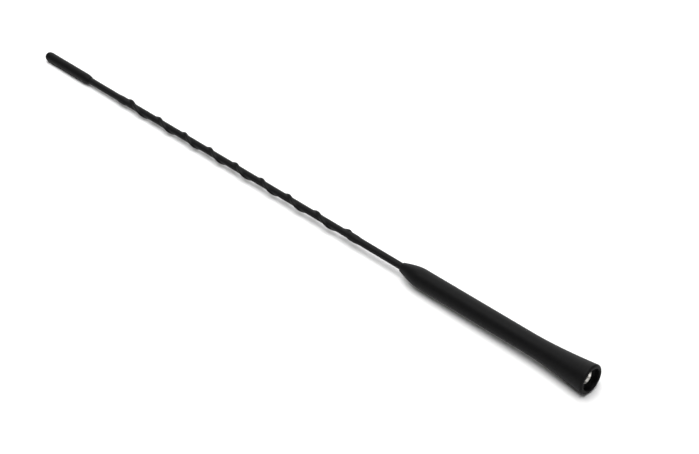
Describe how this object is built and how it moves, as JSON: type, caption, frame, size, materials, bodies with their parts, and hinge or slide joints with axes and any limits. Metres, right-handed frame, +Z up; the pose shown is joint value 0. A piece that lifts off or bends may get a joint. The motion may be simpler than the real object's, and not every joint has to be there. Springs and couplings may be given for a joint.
{
  "type": "car mast aerial",
  "caption": "Slim straight car radio mast: flared moulded foot with a threaded insert, long barrel grip, spiral-ridged sleeve over a steel rod, and a rounded tip cap.",
  "frame": {"origin": "on the floor that the mast lies on, below the middle of its box", "axes": "+X along the mast from tip to foot, seen from above, +Z up from the floor; the mast's own axis leans 0.75 degrees, from the wide foot down to the slim tip"},
  "size_m": [0.4001, 0.016, 0.0159],
  "materials": {
    "soft_black": "moulded satin with a fine grain",
    "sleeve_black": "shrunk satin sleeve",
    "strand_nylon": "plain drawn nylon",
    "rod_steel": "drawn bright",
    "plated_brass": "turned and nickel plated"
  },
  "bodies": {
    "root": {"grip": "soft_black", "tip_cap": "soft_black", "sleeve": "sleeve_black", "wind_noise_spiral": "strand_nylon", "whip_rod": "rod_steel", "threaded_insert": "plated_brass"}
  },
  "joints": []
}
